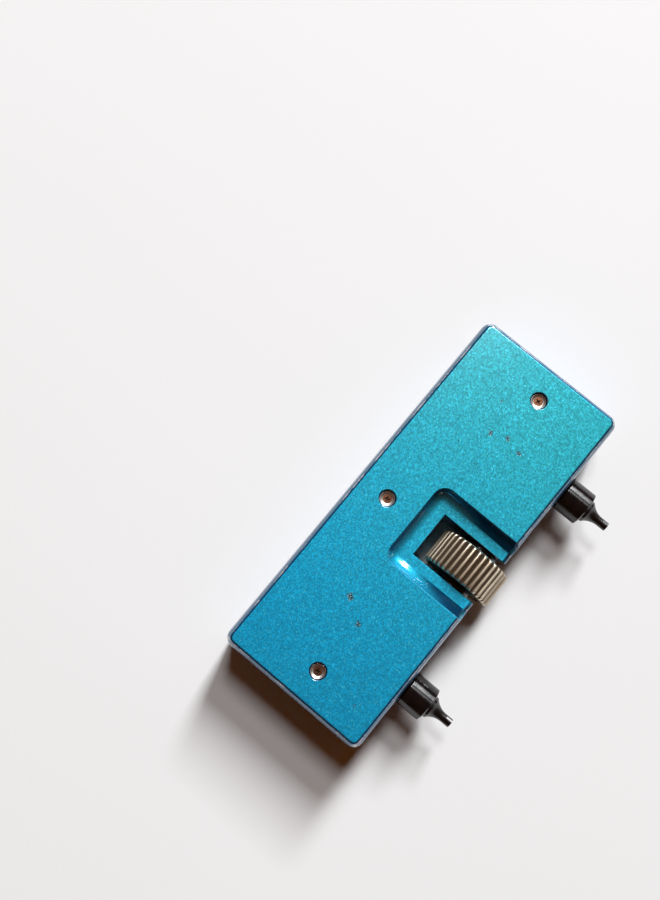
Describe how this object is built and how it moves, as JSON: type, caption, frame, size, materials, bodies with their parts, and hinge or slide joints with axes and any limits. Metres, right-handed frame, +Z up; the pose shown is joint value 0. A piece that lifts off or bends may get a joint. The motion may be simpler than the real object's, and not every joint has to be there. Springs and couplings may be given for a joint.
{
  "type": "watch case back opener",
  "caption": "Small hand-held watch case back opener: a flat two-part metal body with a knurled thumb wheel that moves two fork-tip bits apart or together along a lead screw.",
  "frame": {"origin": "under the middle of the whole tool's box, bits included, on the plane that the underside rests on", "axes": "+X along the body's length, -Y towards the bits, +Z up out of the face with the case screws"},
  "size_m": [0.062, 0.0336, 0.012],
  "materials": {
    "body_paint": "metallic blue paint with a fine flake, worn at the edges",
    "case_screws": "coppery passivated steel",
    "screw_steel": "turned and threaded steel, lightly oiled",
    "wheel_nickel": "knurled and nickel plated",
    "black_steel": "black oxide on hardened steel, glossy"
  },
  "bodies": {
    "body": {"upper_shell": "body_paint", "lower_shell": "body_paint", "case_screw_left": "case_screws", "case_screw_right": "case_screws", "case_screw_rear": "case_screws"},
    "wheel": {"thumb_wheel": "wheel_nickel", "lead_screw": "screw_steel", "thrust_washer_left": "screw_steel", "thrust_washer_right": "screw_steel"},
    "left_carriage": {"carriage_left": "black_steel", "bit_left": "black_steel"},
    "right_carriage": {"carriage_right": "black_steel", "bit_right": "black_steel"}
  },
  "joints": [
    {"name": "wheel_spin", "type": "hinge", "parent": "body", "child": "wheel", "pos_m": [0, -0.0042, 0.006], "axis": [1, 0, 0], "range_deg": [-4780, 2700]},
    {"name": "left_slide", "type": "slide", "parent": "body", "child": "left_carriage", "axis": [1, 0, 0], "range_m": [-0.00526, 0.00931]},
    {"name": "right_slide", "type": "slide", "parent": "body", "child": "right_carriage", "axis": [1, 0, 0], "range_m": [-0.00931, 0.00526]}
  ],
  "couplings": [
    {"joint": "left_slide", "follows": "wheel_spin", "m_per_rad": -0.00011141},
    {"joint": "right_slide", "follows": "wheel_spin", "m_per_rad": 0.00011141}
  ]
}
